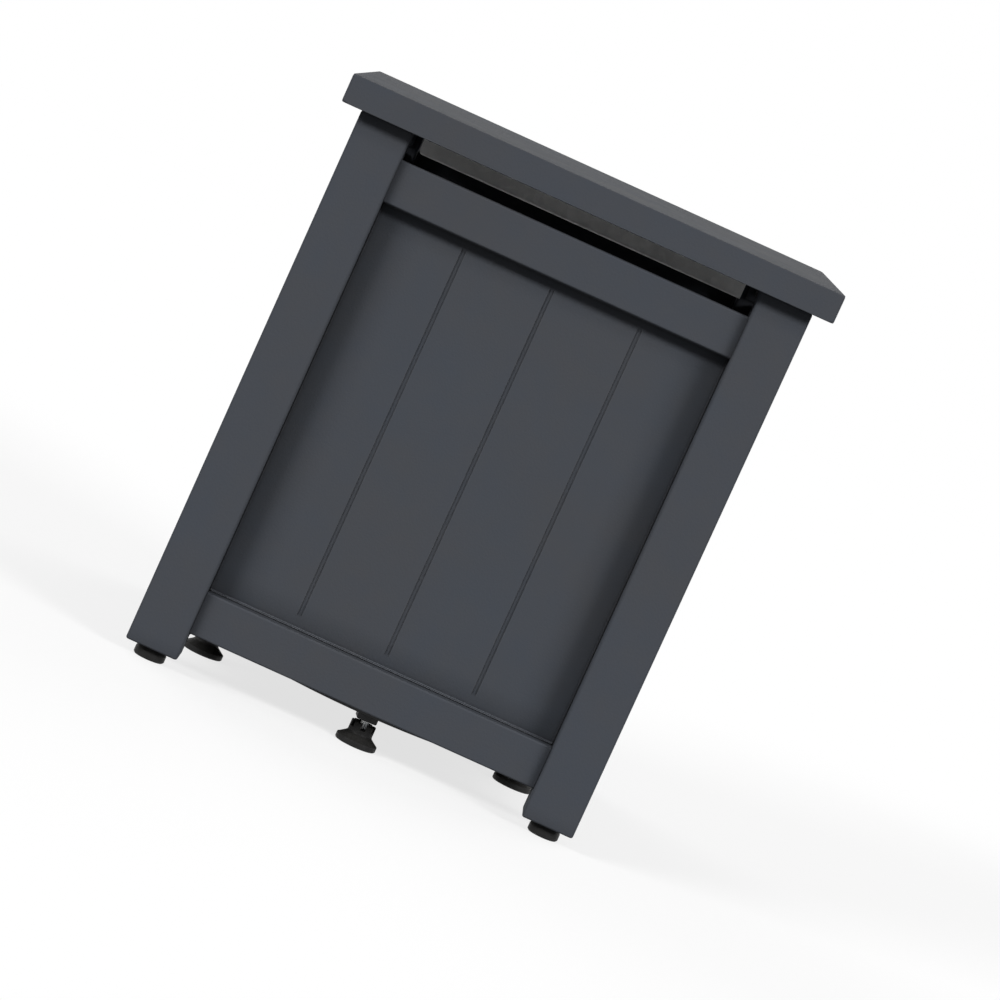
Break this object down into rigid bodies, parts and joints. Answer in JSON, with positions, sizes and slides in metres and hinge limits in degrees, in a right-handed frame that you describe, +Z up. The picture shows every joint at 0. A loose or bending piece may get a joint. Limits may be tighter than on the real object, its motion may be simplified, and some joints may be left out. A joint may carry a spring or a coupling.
{
  "type": "propane tank cover table",
  "caption": "Square side table with framed, grooved side panels that lifts off over a low round levelling stand with screw feet and a clamping wing bolt.",
  "frame": {"origin": "on the floor under the middle of the table", "axes": "+Z up, front towards -Y, +X to the right seen from the front"},
  "size_m": [0.484, 0.484, 0.5646],
  "materials": {
    "table_frame": "matte slate-grey powder coat",
    "side_panel": "matte slate-grey powder coat on pressed sheet",
    "bare_sheet": "bare galvanised sheet",
    "stand_steel": "satin black paint on flat bar",
    "foot_plastic": "black moulded plastic",
    "zinc": "bright zinc plate"
  },
  "bodies": {
    "stand": {"outer_ring": "stand_steel", "collar": "stand_steel", "spoke_front": "stand_steel", "spoke_right": "stand_steel", "spoke_back": "stand_steel", "spoke_left": "stand_steel", "rest_tab_front": "stand_steel", "rest_tab_right": "stand_steel", "rest_tab_back": "stand_steel", "rest_tab_left": "stand_steel", "foot_lug_front": "stand_steel", "foot_lug_right": "stand_steel", "foot_lug_back": "stand_steel", "foot_lug_left": "stand_steel", "bolt_boss": "stand_steel", "side_pin": "stand_steel"},
    "cover": {"tabletop": "table_frame", "top_stiffener": "bare_sheet", "leg_front_left": "table_frame", "leg_front_right": "table_frame", "leg_back_right": "table_frame", "leg_back_left": "table_frame", "upper_rail_front": "table_frame", "upper_rail_right": "table_frame", "upper_rail_back": "table_frame", "upper_rail_left": "table_frame", "lower_rail_front": "table_frame", "lower_rail_right": "table_frame", "lower_rail_back": "table_frame", "lower_rail_left": "table_frame", "side_panel_front": "side_panel", "side_panel_right": "side_panel", "side_panel_back": "side_panel", "side_panel_left": "side_panel", "corner_bracket_front_left": "table_frame", "corner_bracket_front_right": "table_frame", "corner_bracket_back_right": "table_frame", "corner_bracket_back_left": "table_frame", "leg_nut_front_left": "zinc", "leg_nut_front_right": "zinc", "leg_nut_back_right": "zinc", "leg_nut_back_left": "zinc"},
    "table_foot_front_left": {"table_foot_front_left": "foot_plastic", "table_stud_front_left": "zinc"},
    "table_foot_front_right": {"table_foot_front_right": "foot_plastic", "table_stud_front_right": "zinc"},
    "table_foot_back_right": {"table_foot_back_right": "foot_plastic", "table_stud_back_right": "zinc"},
    "table_foot_back_left": {"table_foot_back_left": "foot_plastic", "table_stud_back_left": "zinc"},
    "stand_foot_front": {"stand_foot_front": "foot_plastic", "stand_stud_front": "zinc"},
    "stand_foot_right": {"stand_foot_right": "foot_plastic", "stand_stud_right": "zinc"},
    "stand_foot_back": {"stand_foot_back": "foot_plastic", "stand_stud_back": "zinc"},
    "stand_foot_left": {"stand_foot_left": "foot_plastic", "stand_stud_left": "zinc"},
    "wing_bolt": {"wing_bolt": "zinc"}
  },
  "joints": [
    {"name": "cover_lift", "type": "slide", "parent": "stand", "child": "cover", "axis": [0, 0, 1], "range_m": [0, 0.5]},
    {"name": "table_foot_front_left_screw", "type": "slide", "parent": "cover", "child": "table_foot_front_left", "axis": [0, 0, -1], "range_m": [0, 0.015]},
    {"name": "table_foot_front_right_screw", "type": "slide", "parent": "cover", "child": "table_foot_front_right", "axis": [0, 0, -1], "range_m": [0, 0.015]},
    {"name": "table_foot_back_right_screw", "type": "slide", "parent": "cover", "child": "table_foot_back_right", "axis": [0, 0, -1], "range_m": [0, 0.015]},
    {"name": "table_foot_back_left_screw", "type": "slide", "parent": "cover", "child": "table_foot_back_left", "axis": [0, 0, -1], "range_m": [0, 0.015]},
    {"name": "stand_foot_front_screw", "type": "slide", "parent": "stand", "child": "stand_foot_front", "axis": [0, 0, -1], "range_m": [-0.002, 0.012]},
    {"name": "stand_foot_right_screw", "type": "slide", "parent": "stand", "child": "stand_foot_right", "axis": [0, 0, -1], "range_m": [-0.002, 0.012]},
    {"name": "stand_foot_back_screw", "type": "slide", "parent": "stand", "child": "stand_foot_back", "axis": [0, 0, -1], "range_m": [-0.002, 0.012]},
    {"name": "stand_foot_left_screw", "type": "slide", "parent": "stand", "child": "stand_foot_left", "axis": [0, 0, -1], "range_m": [-0.002, 0.012]},
    {"name": "wing_bolt_screw", "type": "slide", "parent": "stand", "child": "wing_bolt", "axis": [-0.788, 0.6157, 0], "range_m": [-0.01, 0.009]}
  ]
}
